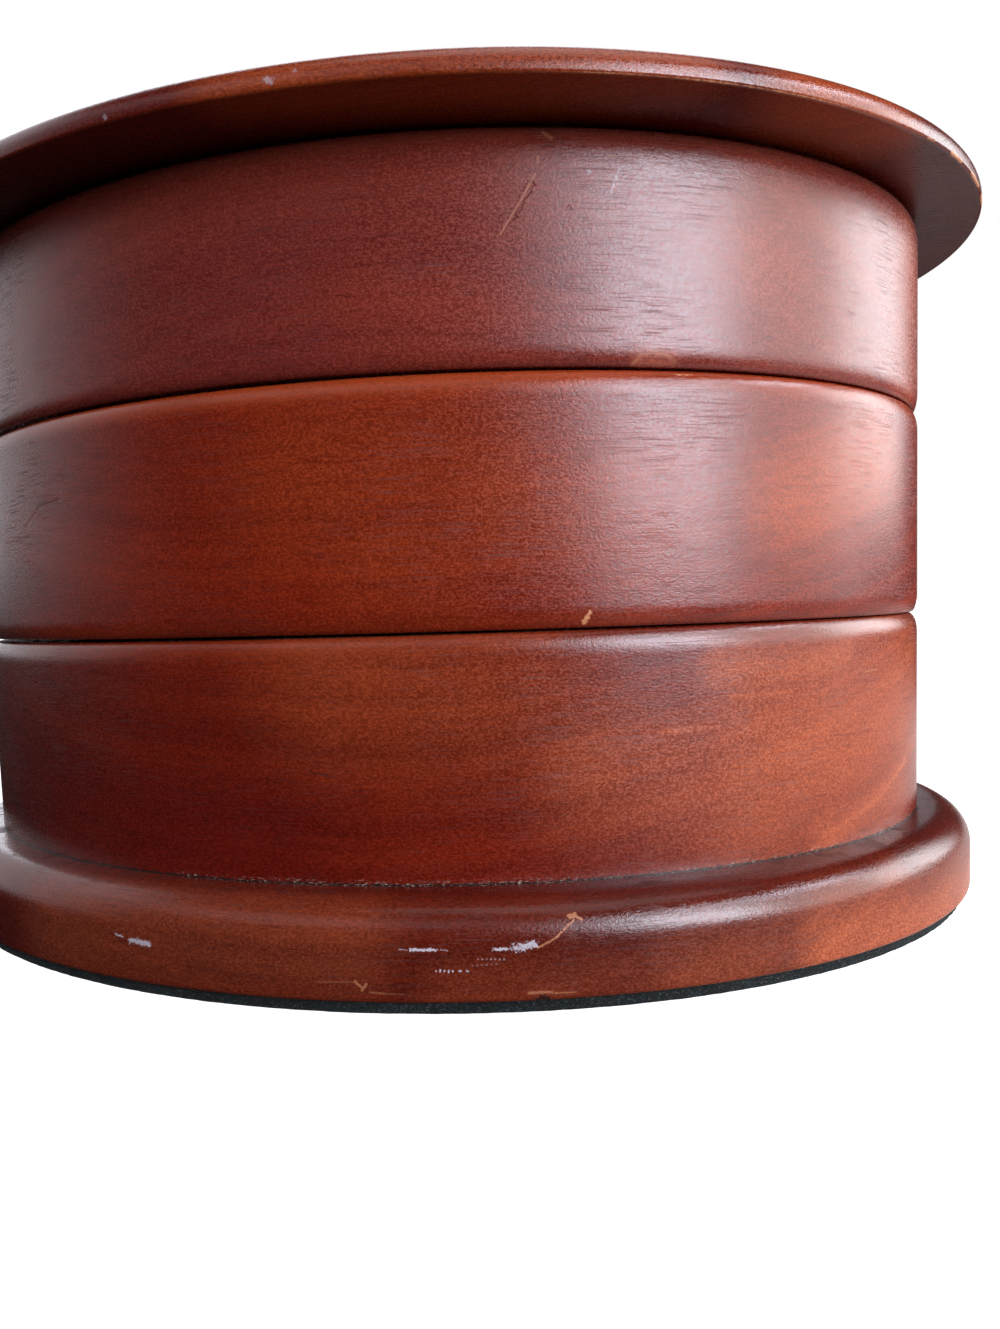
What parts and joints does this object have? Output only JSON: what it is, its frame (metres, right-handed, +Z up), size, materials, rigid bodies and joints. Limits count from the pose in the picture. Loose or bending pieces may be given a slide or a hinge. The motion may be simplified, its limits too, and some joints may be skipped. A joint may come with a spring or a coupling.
{
  "type": "swivel jewellery box",
  "caption": "Oval wooden jewellery box whose stacked, velvet-lined trays and thin overhanging lid swivel out about an upright bolt at one narrow end, on a moulded, felt-footed base.",
  "frame": {"origin": "middle of the felt foot, on the surface that the box stands on", "axes": "+Z up, +X along the oval away from the pivot, the side seen in the picture towards -Y"},
  "size_m": [0.2564, 0.1824, 0.1534],
  "materials": {
    "stained_wood": "red-brown stain under satin lacquer",
    "plywood": "stained, unlacquered",
    "foot_felt": "pressed black felt",
    "velvet": "short charcoal pile",
    "steel": "zinc-plated",
    "nylon": "natural, matte"
  },
  "bodies": {
    "base": {"base_plate": "stained_wood", "base_felt": "foot_felt", "bottom_tray_wall": "stained_wood", "bottom_tray_lining": "velvet", "bottom_divider_cross": "stained_wood", "bottom_divider_long": "stained_wood", "pivot_bolt": "steel", "pivot_nut_washer": "steel", "pivot_nut": "steel"},
    "middle_tray": {"middle_tray_wall": "stained_wood", "middle_tray_floor": "plywood", "middle_tray_lining": "velvet", "middle_divider_cross_left": "stained_wood", "middle_divider_cross_right": "stained_wood", "middle_divider_long": "stained_wood", "middle_bush": "nylon"},
    "top_tray": {"top_tray_wall": "stained_wood", "top_tray_floor": "plywood", "top_tray_lining": "velvet", "top_divider_left": "stained_wood", "top_divider_right": "stained_wood", "ring_roll_1": "velvet", "ring_roll_2": "velvet", "ring_roll_3": "velvet", "ring_roll_4": "velvet", "ring_roll_5": "velvet", "top_bush": "nylon", "lid_washer": "nylon"},
    "lid": {"lid_panel": "stained_wood", "retainer_plate": "steel", "retainer_screw_1": "steel", "retainer_screw_2": "steel", "retainer_screw_3": "steel"}
  },
  "joints": [
    {"name": "middle_tray_swivel", "type": "hinge", "parent": "base", "child": "middle_tray", "pos_m": [-0.096, 0, 0.0855], "axis": [0, 0, 1], "range_deg": [-180, 180]},
    {"name": "top_tray_swivel", "type": "hinge", "parent": "base", "child": "top_tray", "pos_m": [-0.096, 0, 0.1276], "axis": [0, 0, 1], "range_deg": [-180, 180]},
    {"name": "lid_swivel", "type": "hinge", "parent": "base", "child": "lid", "pos_m": [-0.096, 0, 0.1506], "axis": [0, 0, 1], "range_deg": [-180, 180]}
  ]
}
